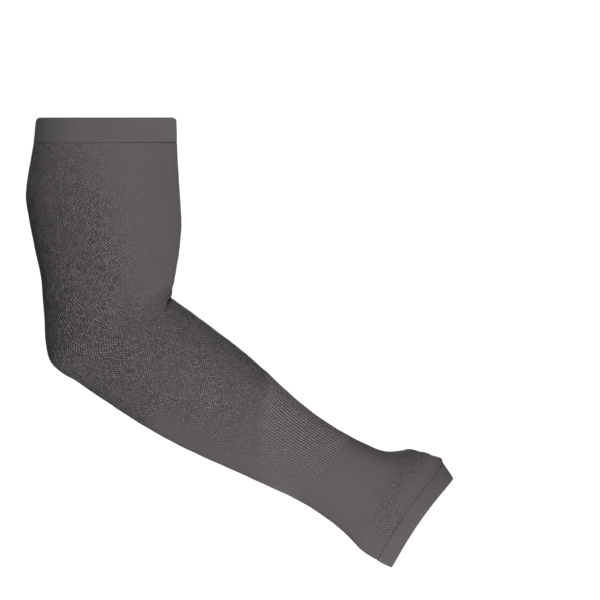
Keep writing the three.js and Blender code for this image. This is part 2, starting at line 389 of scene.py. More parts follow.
class StudioSettings(bpy.types.PropertyGroup):
    """Light and ground of the studio"""

    key: bpy.props.FloatProperty(
        name="Key light",
        description="Power of the large light low in front, to the right",
        default=10.3,
        unit="POWER",
    )
    right: bpy.props.FloatProperty(
        name="Right light",
        description="Power of the light in front, to the right",
        default=1.6,
        unit="POWER",
    )
    left: bpy.props.FloatProperty(
        name="Left light",
        description="Power of the light in front, to the left",
        default=1.7,
        unit="POWER",
    )
    top: bpy.props.FloatProperty(
        name="Top light",
        description="Power of the light above, in front",
        default=1.75,
        unit="POWER",
    )
    back: bpy.props.FloatProperty(
        name="Back light",
        description="Power of the light behind",
        default=40.0,
        unit="POWER",
    )
    ambient: bpy.props.FloatProperty(
        name="Ambient",
        description="Strength of the even light from all round",
        default=0.06,
        min=0,
    )
    ground: bpy.props.FloatVectorProperty(
        name="Ground",
        description="Colour of the floor and the background",
        default=(1.0, 1.0, 1.0),
        subtype="COLOR",
        min=0,
        max=1,
    )


# The form of the sleeve

def smooth_step(low, high, value):
    """0 below low, 1 above high, and a smooth rise between them."""
    share = np.clip((value - low) / (high - low), 0, 1)
    return share * share * (3 - 2 * share)


def section_size(column, along):
    """One column of the section table at places along the sleeve, on a smooth curve through its rows."""
    stations = SECTIONS[:, 0]
    values = SECTIONS[:, SECTION_COLUMNS.index(column)]
    steps = np.diff(stations)
    slopes = np.diff(values) / steps
    tangents = np.concatenate((slopes[:1], (slopes[:-1] + slopes[1:]) / 2, slopes[-1:]))
    row = np.clip(np.searchsorted(stations, along, side="right") - 1, 0, len(steps) - 1)
    share = (along - stations[row]) / steps[row]
    rise = 3 * share**2 - 2 * share**3
    level = values[row] * (1 - rise) + values[row + 1] * rise
    bend = tangents[row] * (share**3 - 2 * share**2 + share) + tangents[row + 1] * (share**3 - share**2)
    return level + bend * steps[row]


def crook_depth(along, sideways):
    """Depth of the wide dent in the crook of the elbow."""
    share = np.minimum(np.abs(sideways) / CROOK_REACH, 1)
    middle = CROOK_ALONG + CROOK_SWEEP * share**2
    return CROOK_DEPTH * (1 - share**2) * np.exp(-(((along - middle) / CROOK_WIDTH) ** 2))


def section_point(along, turn):
    """A point of a cross-section: x towards the front and y towards the inner side."""
    cos = np.cos(2 * np.pi * turn)
    sin = np.sin(2 * np.pi * turn)
    front = section_size("front", along)
    reach = np.where(cos > 0, front, section_size("back", along))
    side = np.where(sin > 0, section_size("inner", along), section_size("outer", along))
    power = 2 / section_size("fullness", along)
    x = reach * np.sign(cos) * np.abs(cos) ** power
    y = side * np.sign(sin) * np.abs(sin) ** power
    forward = np.maximum(x, 0) / front
    dent = forward * crook_depth(along, y)
    return x - dent, y + section_size("lean", along) * forward**2


def front_share(along, x):
    """0 at the back of a section and 1 at its front."""
    back = section_size("back", along)
    return (x + back) / (section_size("front", along) + back)


def hem_bow(along, x):
    """How far a place is moved up the sleeve by the bow of the hem."""
    share = front_share(along, x)
    return HEM_BOW * 4 * share * (1 - share) * smooth_step(BOW_START, HEM_START, along)


def top_drop(along, x):
    """How far a place is moved down the sleeve where the top edge is rounded off."""
    reach = np.abs(2 * front_share(along, x) - 1)
    return TOP_DROP * smooth_step(TOP_DROP_FROM, 1, reach) * smooth_step(TOP_DROP_DEPTH, 0, along)


def sleeve_point(along, turn):
    """A point of the cloth's outside on the bent sleeve."""
    x, y = section_point(along, turn)
    placed = along + top_drop(along, x) - hem_bow(along, x)
    angle = np.clip(placed - ELBOW_START, 0, ELBOW_LENGTH) / ELBOW_RADIUS
    after = np.maximum(placed - ELBOW_END, 0)
    axis_x = ELBOW_RADIUS * (1 - np.cos(angle)) + after * np.sin(angle)
    axis_z = -np.minimum(placed, ELBOW_START) - ELBOW_RADIUS * np.sin(angle) - after * np.cos(angle)
    return np.stack((axis_x + x * np.cos(angle), y, axis_z + x * np.sin(angle)), axis=-1)


def cloth_point(along, turn, height):
    """Points at a height over the cloth's outside, measured square to it."""
    down = sleeve_point(along + PROBE_ALONG, turn) - sleeve_point(along - PROBE_ALONG, turn)
    across = sleeve_point(along, turn + PROBE_TURN) - sleeve_point(along, turn - PROBE_TURN)
    normal = np.cross(down, across)
    normal /= np.linalg.norm(normal, axis=-1, keepdims=True)
    return sleeve_point(along, turn) + normal * height[..., None]


def even_turns(alongs, count, side_weight=1.0):
    """Turns at which points lie evenly round each section, with a row for each place along the sleeve.

    A side_weight below 1 draws the points together on the broad sides of the sleeve.
    """
    dense = np.linspace(0, 1, SECTION_DIVISIONS + 1)
    shares = np.arange(count) / count
    rows = []
    for along in alongs:
        x, y = section_point(np.full_like(dense, along), dense)
        steps = np.hypot(np.diff(x), side_weight * np.diff(y))
        length = np.concatenate(([0], np.cumsum(steps)))
        rows.append(np.interp(shares * length[-1], length, dense))
    return np.array(rows)


def girth(along):
    """The way round the cloth at a place along the sleeve."""
    turns = np.linspace(0, 1, SECTION_DIVISIONS + 1)
    x, y = section_point(np.full_like(turns, along), turns)
    return float(np.hypot(np.diff(x), np.diff(y)).sum())


def front_turn(along, side):
    """The turn at which the front of a section is a distance to the palm side."""
    turns = np.linspace(-0.25, 0.25, SECTION_DIVISIONS + 1)
    _, y = section_point(np.full_like(turns, along), turns)
    return float(np.interp(side, y, turns))


# What stands out of the plain form

def crease(along, turn, depth):
    """The narrow crease in the crook, which runs on round the sleeve and down the forearm."""
    x, y = section_point(along, turn)
    share = np.minimum(np.abs(y) / CREASE_REACH, 1)
    middle = CROOK_ALONG + CROOK_SWEEP * share**2
    strength = np.where(x > 0, (1 - share**2) * smooth_step(0, CREASE_CLEAR, share), 0)
    return -depth * strength * np.exp(-(((along - middle) / CREASE_WIDTH) ** 2))


def seam_dip(along, seam, firmness):
    """The dip of the single knit where a hem is joined on, deepest where the join is firm."""
    depth = SEAM_DEPTH * (SEAM_LEAST + (1 - SEAM_LEAST) * firmness)
    return -depth * np.exp(-(((along - seam) / SEAM_WIDTH) ** 2))


def waver(along, turn):
    """Slight unevenness of the stretched cloth."""
    angle = 2 * np.pi * turn
    swell = np.sin(SWELL_PER_METRE * along + SWELL_ROUND * angle)
    beat = np.sin(SWELL_BEAT_ROUND * angle + SWELL_BEAT_PHASE)
    ripple = np.sin(RIPPLE_PER_METRE * along + RIPPLE_ROUND * angle + RIPPLE_PHASE)
    return SWELL_HEIGHT * swell * beat + RIPPLE_HEIGHT * ripple


def frontness(along, turn):
    """0 at the back of the sleeve and 1 at its front."""
    x, _ = section_point(along, turn)
    return front_share(along, x)


def rib_slant(along, turn):
    """How far the end of the ribs is moved down the sleeve at the front, and up at the back."""
    near_end = np.maximum(1 - np.abs(along - RIB_END) / RIB_SLANT_REACH, 0)
    return RIB_END_SLANT * near_end * (2 * frontness(along, turn) - 1)


def rib_fan(along, turn):
    """How far the ribs turn to the front of the forearm where they start."""
    near_start = np.clip(1 - (along - RIB_START) / RIB_FAN_REACH, 0, 1)
    return -RIB_FAN * near_start**2 * np.sin(2 * np.pi * turn)


def rib_strength(along, turn, rib):
    """1 where the ribs are full and 0 where the knit is plain. rib is the number of the rib at each place."""
    front = frontness(along, turn)
    start = RIB_BACK_START + (RIB_FRONT_START - RIB_BACK_START) * front
    start = start + RIB_START_SPREAD * np.sin(RIB_START_BEAT * rib) ** 2
    fade = RIB_BACK_FADE + (RIB_FRONT_FADE - RIB_BACK_FADE) * front
    end = RIB_END + RIB_END_SLANT * (2 * front - 1)
    return smooth_step(start, start + fade, along) * smooth_step(end, end - RIB_END_FADE, along)


def rib_light(wave, strength, front):
    """The ribs' painted light and shade: how much lighter the crests are than the plain knit, and how much
    darker the valleys.
    """
    contrast = RIB_PAINTED_CONTRAST + RIB_FRONT_PAINTED_CONTRAST * front
    painted_lift = RIB_BACK_PAINTED_LIFT + (RIB_PAINTED_LIFT - RIB_BACK_PAINTED_LIFT) * smooth_step(0, RIB_LIFT_FRONT, front)
    return strength * (painted_lift + contrast * wave)


def knit_show(along, turn):
    """How clearly the stitches show: 1 where the cloth is slack, and least where it is stretched smooth."""
    front = frontness(along, turn)
    narrowed = front - UPPER_SMOOTH_NARROWING * along / ELBOW_START
    upper = smooth_step(*UPPER_SMOOTH_FRONT, narrowed) * smooth_step(*UPPER_SMOOTH_ALONG, along)
    lower = smooth_step(*LOWER_SMOOTH_FRONT, front) * smooth_step(*LOWER_SMOOTH_ALONG, along)
    hand = smooth_step(*HAND_SMOOTH_START, along) * smooth_step(*HAND_SMOOTH_END, along)
    hem = smooth_step(*HEM_SMOOTH_FRONT, front) * smooth_step(*HEM_SMOOTH_ALONG, along)
    clear = np.interp(along, SHOW_ALONG, SHOW_THERE)
    smoothest = np.max((upper, lower, hand, hem), axis=0)
    return clear * (1 - (1 - LEAST_SHOW) * smoothest)


# Meshes

def places(start, end, longest):
    """Even places from start to end, both included."""
    steps = max(1, math.ceil(abs(end - start) / longest))
    return np.linspace(start, end, steps + 1)


def merged_places(*alongs):
    """All these places in order, each once."""
    return np.unique(np.round(np.concatenate(alongs), PLACE_DECIMALS))


def rings(alongs, count, side_weight=1.0):
    """The place along the sleeve and the turn of every point, with a ring of points at each place."""
    along = np.repeat(alongs[:, None], count, axis=1)
    return along, even_turns(alongs, count, side_weight)


def cloth_object(name, points, faces, uvs, materials, inside, looks=None):
    """A smooth mesh object. inside marks the faces that take the second material.

    looks holds values for each point, by name, which the materials read.
    """
    used, faces = np.unique(faces, return_inverse=True)
    mesh = bpy.data.meshes.new(name)
    mesh.from_pydata(points[used].tolist(), [], faces.reshape(-1, 4).tolist())
    mesh.uv_layers.new(name=KNIT_MAP).data.foreach_set("uv", uvs.astype(np.float32).ravel())
    mesh.polygons.foreach_set("material_index", inside.astype(np.int32))
    for material in materials:
        mesh.materials.append(material)
    mesh.shade_smooth()
    mesh.set_sharp_from_angle(angle=SHARP_ANGLE)
    for look, values in (looks or {}).items():
        attribute = mesh.attributes.new(look, "FLOAT", "POINT")
        attribute.data.foreach_set("value", values.ravel()[used].astype(np.float32))
    mesh.update()
    piece = bpy.data.objects.new(name, mesh)
    bpy.context.scene.collection.objects.link(piece)
    return piece


def loop_faces(rows, count):
    """Faces of a closed loop of closed rings, and the row and column of each corner."""
    row = np.arange(rows)[:, None, None]
    column = np.arange(count)[None, :, None]
    corner_row = row + np.array([0, 1, 1, 0])
    corner_column = column + np.array([0, 0, 1, 1])
    corner_row, corner_column = np.broadcast_arrays(corner_row, corner_column)
    faces = (corner_row % rows) * count + corner_column % count
    return faces.reshape(-1, 4), corner_row.reshape(-1, 4), corner_column.reshape(-1, 4)


def wall_object(name, alongs, points, inside_rows, materials, looks=None):
    """A closed wall from rings of points: down its outside, and back up its inside."""
    rows, count = points.shape[:2]
    faces, corner_row, corner_column = loop_faces(rows, count)
    uvs = np.stack((corner_column / count, alongs[corner_row % rows]), axis=-1)
    inside = inside_rows[corner_row[:, 0]] & inside_rows[corner_row[:, 1] % rows]
    return cloth_object(name, points.reshape(-1, 3), faces, uvs, materials, inside, looks)


def tube_profile(outside, inside):
    """Places and heights of a single wall, and which of its rows are inside."""
    alongs = np.concatenate((outside, inside[::-1]))
    heights = np.concatenate((np.zeros(len(outside)), np.full(len(inside), -KNIT_WALL)))
    return alongs, heights, heights < -KNIT_WALL / 2


def hem_profile(seam, edge):
    """The same of a hem, a double wall with a folded edge and with a corner rounded at the seam."""
    way = math.copysign(1, edge - seam)
    length = abs(edge - seam)
    radius = HEM_WALL / 2
    corner = np.linspace(math.pi, math.pi / 2, CORNER_POINTS)
    fold = np.linspace(math.pi / 2, -math.pi / 2, FOLD_POINTS)
    first = ZONE_GAP + HEM_CORNER
    face = places(first, length - radius, HEM_STEP)[1:-1]
    crown = HEM_CROWN * np.sin(np.pi * (face - first) / (length - radius - first))
    back = places(length - radius, ZONE_GAP, INSIDE_STEP)[1:]
    reach = np.concatenate((
        first + HEM_CORNER * np.cos(corner),
        face,
        length - radius + radius * np.cos(fold),
        back,
    ))
    heights = np.concatenate((
        HEM_RISE - HEM_CORNER + HEM_CORNER * np.sin(corner),
        HEM_RISE + crown,
        HEM_RISE - radius + radius * np.sin(fold),
        np.full(len(back), HEM_RISE - HEM_WALL),
    ))
    inside = np.arange(len(reach)) > len(corner) + len(face) + len(fold) // 2
    order = slice(None) if way > 0 else slice(None, None, -1)
    return (seam + way * reach)[order], heights[order], inside[order]


def settle(piece, nodes):
    """Checks that a piece of cloth lies in its nodes' place, parents it to the root, and hides the nodes."""
    low, high = (np.array(side) for side in zip(*(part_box(node) for node in nodes)))
    corners = np.array([vertex.co for vertex in piece.data.vertices])
    apart = max(np.abs(corners.min(0) - low.min(0)).max(), np.abs(corners.max(0) - high.max(0)).max())
    if apart > PLACE_TOLERANCE:
        raise RuntimeError(f"{piece.name} lies {apart / MM:.1f} mm from its place in the frame")
    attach(piece, "root")
    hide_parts(*nodes)


# Materials

class Nodes:
    """Adds nodes to a tree, each with its values and links set in one call."""

    def __init__(self, tree):
        self.tree = tree

    def add(self, kind, settings=None, **inputs):
        node = self.tree.nodes.new(kind)
        for name, value in (settings or {}).items():
            setattr(node, name, value)
        for name, value in inputs.items():
            self.put(node, name, value)
        return node

    def put(self, node, name, value):
        """Sets or links an input. A name such as _1 gives its number, and any other has _ for a space."""
        socket = node.inputs[int(name[1:])] if name[0] == "_" else node.inputs[name.replace("_", " ")]
        if isinstance(value, bpy.types.NodeSocket):
            self.tree.links.new(value, socket)
        else:
            socket.default_value = value

    def math(self, operation, first, second=0.0, third=0.0):
        values = {"_0": first, "_1": second, "_2": third}
        return self.add("ShaderNodeMath", {"operation": operation}, **values).outputs[0]


def new_group(name, inputs, outputs):
    """An empty shader node group with value sockets, or colour ones where the default is a tuple."""
    tree = bpy.data.node_groups.new(name, "ShaderNodeTree")
    for way, sockets in (("INPUT", inputs), ("OUTPUT", outputs)):
        for label, default in sockets.items():
            kind = "NodeSocketColor" if isinstance(default, tuple) else "NodeSocketFloat"
            socket = tree.interface.new_socket(label, in_out=way, socket_type=kind)
            socket.default_value = default
    nodes = Nodes(tree)
    return nodes, nodes.add("NodeGroupInput").outputs, nodes.add("NodeGroupOutput")


def knit_map(nodes, given):
    """The column and the row of stitches at a place, with the share of the stitch that lies before it."""
    place = nodes.add("ShaderNodeUVMap", {"uv_map": KNIT_MAP}).outputs["UV"]
    split = nodes.add("ShaderNodeSeparateXYZ", Vector=place).outputs
    column = nodes.math("MULTIPLY", split["X"], given["Wales"])
    row = nodes.math("DIVIDE", split["Y"], given["Course"])
    return column, row


def arch(nodes, value):
    """1 in the middle of 0 to 1, falling to 0 at both ends as a round yarn does."""
    centred = nodes.math("MULTIPLY_ADD", value, 2.0, -1.0)
    squared = nodes.math("MULTIPLY", centred, centred)
    return nodes.math("SUBTRACT", 1.0, squared)


def plain_stitch_group():
    """Columns of V stitches, as on the right side of a plain knit.

    Relief is the yarn's height, Fleck a chance value for each leg of a stitch, and Eye every other stitch,
    which is painted darker as shade, as though it lay deeper.
    """
    sizes = {
        "Wales": float(WALES),
        "Course": COURSE,
        "Slant": STITCH_SLANT,
        "Unevenness": STITCH_UNEVENNESS,
    }
    nodes, given, out = new_group("PlainStitches", sizes, {"Relief": 0.0, "Fleck": 0.0, "Eye": 0.0})
    column, row = knit_map(nodes, given)
    place = nodes.add("ShaderNodeTexCoord").outputs["Object"]
    stray = nodes.add("ShaderNodeTexNoise", Vector=place, Scale=STRAY_SCALE, Detail=1.0).outputs["Color"]
    strays = nodes.add("ShaderNodeSeparateXYZ", Vector=stray).outputs
    column = nodes.math("MULTIPLY_ADD", strays["X"], given["Unevenness"], column)
    row = nodes.math("MULTIPLY_ADD", strays["Y"], given["Unevenness"], row)
    centred = nodes.math("SUBTRACT", nodes.math("FRACT", column), 0.5)
    aside = nodes.math("ABSOLUTE", centred)
    leaning = nodes.math("ADD", row, nodes.math("MULTIPLY", aside, given["Slant"]))
    leg = arch(nodes, nodes.math("MULTIPLY", aside, 2.0))
    yarn = arch(nodes, nodes.math("FRACT", leaning))
    relief = nodes.math("SQRT", nodes.math("MAXIMUM", nodes.math("MULTIPLY", leg, yarn), 0.0))
    both = nodes.math("ADD", nodes.math("FLOOR", column), nodes.math("FLOOR", leaning))
    eye = nodes.math("MULTIPLY", nodes.math("FRACT", nodes.math("MULTIPLY", both, 0.5)), 2.0)
    half_column = nodes.math("FLOOR", nodes.math("MULTIPLY", column, 2.0))
    cell = nodes.add("ShaderNodeCombineXYZ", X=half_column, Y=nodes.math("FLOOR", leaning)).outputs[0]
    fleck = nodes.add("ShaderNodeTexWhiteNoise", {"noise_dimensions": "2D"}, Vector=cell).outputs["Value"]
    nodes.put(out, "Relief", relief)
    nodes.put(out, "Fleck", fleck)
    nodes.put(out, "Eye", eye)
    return nodes.tree


def purl_stitch_group():
    """Rows of loops, as on the wrong side of a plain knit."""
    sizes = {"Wales": float(WALES), "Course": COURSE}
    nodes, given, out = new_group("PurlStitches", sizes, {"Relief": 0.0, "Fleck": 0.0, "Eye": 0.0})
    column, row = knit_map(nodes, given)
    sway = nodes.math("COSINE", nodes.math("MULTIPLY", column, 2 * math.pi))
    leaning = nodes.math("MULTIPLY_ADD", sway, PURL_SWAY, row)
    relief = nodes.math("SQRT", nodes.math("MAXIMUM", arch(nodes, nodes.math("FRACT", leaning)), 0.0))
    cell = nodes.add(
        "ShaderNodeCombineXYZ", X=nodes.math("FLOOR", column), Y=nodes.math("FLOOR", leaning)
    ).outputs[0]
    fleck = nodes.add("ShaderNodeTexWhiteNoise", {"noise_dimensions": "2D"}, Vector=cell).outputs["Value"]
    nodes.put(out, "Relief", relief)
    nodes.put(out, "Fleck", fleck)
    return nodes.tree


def yarn_shade_group():
    """Lightens and darkens the yarn about its own colour: by chance flecks and soft clouds, by painted shade
    in the gaps between its stitches and on every other stitch, and by its ribs' painted light and shade.
    """
    inputs = {
        "Yarn": (0.15, 0.14, 0.14, 1.0),
        "Relief": 1.0,
        "Fleck": 0.5,
        "Eye": 0.0,
        "Show": 1.0,
        "Rib Light": 0.0,
        "Gap Shade": 0.5,
        "Fleck Shade": 0.3,
        "Eye Shade": 0.3,
        "Mean Shade": 0.7,
    }
    outputs = {"Colour": (0.15, 0.14, 0.14, 1.0), "Roughness": 0.9}
    nodes, given, out = new_group("YarnShade", inputs, outputs)
    place = nodes.add("ShaderNodeTexCoord").outputs["Object"]
    cloud = nodes.add(
        "ShaderNodeTexNoise",
        Vector=place,
        Scale=CLOUD_SCALE,
        Detail=CLOUD_DETAIL,
        Roughness=CLOUD_ROUGHNESS,
    ).outputs[0]
    # Painted shade: the deeper a place lies between the yarns, the darker its colour
    deep = nodes.math("SUBTRACT", 1.0, given["Relief"])
    gap = nodes.math("SUBTRACT", 1.0, nodes.math("MULTIPLY", deep, given["Gap Shade"]))
    off_middle = nodes.math("SUBTRACT", given["Fleck"], 0.5)
    fleck = nodes.math("MULTIPLY_ADD", off_middle, given["Fleck Shade"], 1.0)
    # Painted shade on every other stitch, as though it lay deeper
    eye = nodes.math("SUBTRACT", 1.0, nodes.math("MULTIPLY", given["Eye"], given["Eye Shade"]))
    stitch = nodes.math("MULTIPLY", nodes.math("MULTIPLY", gap, fleck), eye)
    contrast = nodes.math("SUBTRACT", nodes.math("DIVIDE", stitch, given["Mean Shade"]), 1.0)
    uneven = nodes.add(
        "ShaderNodeMapRange",
        Value=cloud,
        From_Min=CLOUD_RANGE[0],
        From_Max=CLOUD_RANGE[1],
        To_Min=CLOUD_SHOW[0],
        To_Max=CLOUD_SHOW[1],
    ).outputs[0]
    seen = nodes.math("MULTIPLY_ADD", contrast, nodes.math("MULTIPLY", given["Show"], uneven), 1.0)
    seen = nodes.math("MAXIMUM", seen, DARKEST_STITCH)
    # The ribs' painted light and shade
    rib = nodes.math("ADD", given["Rib Light"], 1.0)
    patch = nodes.math("MULTIPLY_ADD", cloud, CLOUD_SHADE, 1 - CLOUD_SHADE / 2)
    shade = nodes.math("MULTIPLY", nodes.math("MULTIPLY", seen, rib), patch)
    tint = nodes.add("ShaderNodeVectorMath", {"operation": "SCALE"}, _0=given["Yarn"], Scale=shade).outputs[0]
    nodes.put(out, "Colour", tint)
    nodes.put(out, "Roughness", nodes.math("MULTIPLY_ADD", deep, GAP_ROUGHENING, CREST_ROUGHNESS))
    return nodes.tree


def shared_group(name, make):
    """A node group by name, made when it is first asked for."""
    return bpy.data.node_groups.get(name) or make()


def yarn_material(
    name,
    yarn,
    purl=False,
    wales=1.0,
    course=1.0,
    relief=1.0,
    gap=0.5,
    fleck=0.5,
    eye=0.0,
    sheen=0.0,
    looks=False,
):
    """A knit whose mean colour is the yarn's, which flecks darken by their shares, and on which gaps and eyes
    are painted darker as shade by their shares.

    wales, course and relief are shares of the sleeve's own sizes. With looks, its stitches show as strongly
    as its mesh says, and its ribs take the painted light and shade that their mesh holds.
    """
    sizes = bpy.context.scene.sleeve_sizes
    material = bpy.data.materials.new(name)
    material.use_nodes = True
    material.diffuse_color = (*yarn, 1.0)
    nodes = Nodes(material.node_tree)
    principled = material.node_tree.nodes["Principled BSDF"]
    if purl:
        group = shared_group("PurlStitches", purl_stitch_group)
        mean_relief = MEAN_ARCH
    else:
        group = shared_group("PlainStitches", plain_stitch_group)
        mean_relief = MEAN_ARCH**2
    stitches = nodes.add(
        "ShaderNodeGroup", {"node_tree": group}, Wales=sizes.wales * wales, Course=sizes.course * course
    ).outputs
    shade = nodes.add(
        "ShaderNodeGroup",
        {"node_tree": shared_group("YarnShade", yarn_shade_group)},
        Yarn=(*yarn, 1.0),
        Relief=stitches["Relief"],
        Fleck=stitches["Fleck"],
        Eye=stitches["Eye"],
        Gap_Shade=gap,
        Fleck_Shade=fleck,
        Eye_Shade=eye,
        Mean_Shade=(1 - gap * (1 - mean_relief)) * (1 - eye / 2),
    )
    height = stitches["Relief"]
    if looks:
        show = nodes.add("ShaderNodeAttribute", {"attribute_name": KNIT_SHOW}).outputs["Fac"]
        # The ribs' painted light and shade: a highlight on the crests and shade in the valleys
        light = nodes.add("ShaderNodeAttribute", {"attribute_name": RIB_PAINTED_LIGHT}).outputs["Fac"]
        nodes.put(shade, "Show", show)
        nodes.put(shade, "Rib Light", light)
        height = nodes.math("MULTIPLY", height, show)
    bump = nodes.add("ShaderNodeBump", Height=height, Strength=1.0)
    bump.inputs["Distance"].default_value = sizes.stitch_relief * relief
    nodes.put(principled, "Base Color", shade.outputs["Colour"])
    nodes.put(principled, "Roughness", shade.outputs["Roughness"])
    nodes.put(principled, "Normal", bump.outputs["Normal"])
    principled.inputs["Diffuse Roughness"].default_value = DIFFUSE_ROUGHNESS
    principled.inputs["Specular IOR Level"].default_value = SPECULAR_LEVEL
    principled.inputs["Sheen Weight"].default_value = sheen
    return material


def knit_inside():
    """The wrong side of the knit, which shows inside the sleeve."""
    name = "knit_inside_yarn"
    return bpy.data.materials.get(name) or yarn_material(
        name, bpy.context.scene.sleeve_colours.knit, purl=True, gap=0.6
    )


def worn_knit(name):
    """The knit as it is worn: its stitches and its ribs' painted light and shade show as its mesh says."""
    colour = bpy.context.scene.sleeve_colours.knit
    return bpy.data.materials.get(name) or yarn_material(
        name, colour, gap=0.7, fleck=1.2, eye=0.9, looks=True
    )


def plain_knit():
    """The plain knit of the arm tube and the hand cover."""
    return worn_knit("plain_knit_yarn")


def rib_knit():
    """The knit of the forearm, plain where its ribs begin."""
    return worn_knit("rib_knit_yarn")


def hem_knit():
    """The closer, smoother knit of the hems."""
    colour = bpy.context.scene.sleeve_colours.hem
    return yarn_material(
        "hem_knit_yarn", colour, wales=1.5, course=0.7, relief=0.4, gap=0.3, fleck=0.15, sheen=0.12
    )


def edge_knit():
    """The turned edge of the thumb hole."""
    colour = bpy.context.scene.sleeve_colours.edge
    return yarn_material("edge_knit_yarn", colour, relief=0.6, gap=0.4, fleck=0.2)


# The pieces

class SLEEVE_OT_arm_tube(bpy.types.Operator):
    """Knit the plain tube from the upper band over the elbow to the ribs"""

    bl_idname = "sleeve.arm_tube"
    bl_label = "Arm tube"

    def execute(self, context):
        start = BAND_END + ZONE_GAP
        end = RIB_START - ZONE_GAP
        crease_end = CROOK_ALONG + CROOK_SWEEP
        fold = places(CROOK_ALONG - CREASE_MARGIN, crease_end + CREASE_MARGIN, CREASE_STEP)
        outside = merged_places(places(start, end, TUBE_STEP), start + SEAM_ROWS, fold)
        inside = merged_places(places(start, end, INSIDE_STEP), fold)
        alongs, heights, inside_rows = tube_profile(outside, inside)
        along, turn = rings(alongs, AROUND)
        relief = crease(along, turn, context.scene.sleeve_sizes.crease_depth) + waver(along, turn)
        relief += np.where(inside_rows[:, None], 0, seam_dip(along, BAND_END, frontness(along, turn)))
        points = cloth_point(along, turn, heights[:, None] + relief)
        materials = (plain_knit(), knit_inside())
        looks = {KNIT_SHOW: knit_show(along, turn)}
        piece = wall_object("arm_tube_knit", alongs, points, inside_rows, materials, looks)
        nodes = ("upper_arm_tube", "elbow_tube", "forearm_tube")
        settle(piece, nodes)
        return {"FINISHED"}


class SLEEVE_OT_forearm_rib(bpy.types.Operator):
    """Knit the ribbed zone of the forearm"""

    bl_idname = "sleeve.forearm_rib"
    bl_label = "Forearm ribs"

    def execute(self, context):
        sizes = context.scene.sleeve_sizes
        count = sizes.rib_count * POINTS_PER_RIB
        start = RIB_START + ZONE_GAP
        end = RIB_END - ZONE_GAP
        outside = merged_places(places(start, end, RIB_STEP), end - SEAM_ROWS)
        inside = places(start, end, INSIDE_STEP)
        alongs, heights, inside_rows = tube_profile(outside, inside)
        along, turn = rings(alongs, count, RIB_SIDE_WEIGHT)
        turn = turn + rib_fan(along, turn)
        along = along + rib_slant(along, turn)
        phase = 2 * np.pi * np.arange(count) / POINTS_PER_RIB
        wave = np.cos(phase) + RIB_SHARPNESS * np.cos(2 * phase)
        rib = np.round(np.arange(count) / POINTS_PER_RIB)
        strength = rib_strength(along, turn, rib)
        relief = (wave - RIB_SINK) * strength * sizes.rib_height / 2 + waver(along, turn)
        points = cloth_point(along, turn, heights[:, None] + relief)
        # The ribs' painted light and shade: a painted highlight on the crests, painted shade in the valleys
        looks = {
            KNIT_SHOW: knit_show(along, turn) * (1 - (1 - RIB_SHOW) * strength),
            RIB_PAINTED_LIGHT: rib_light(np.cos(phase), strength, frontness(along, turn)),
        }
        materials = (rib_knit(), knit_inside())
        piece = wall_object("forearm_rib_knit", alongs, points, inside_rows, materials, looks)
        settle(piece, ("forearm_rib",))
        return {"FINISHED"}


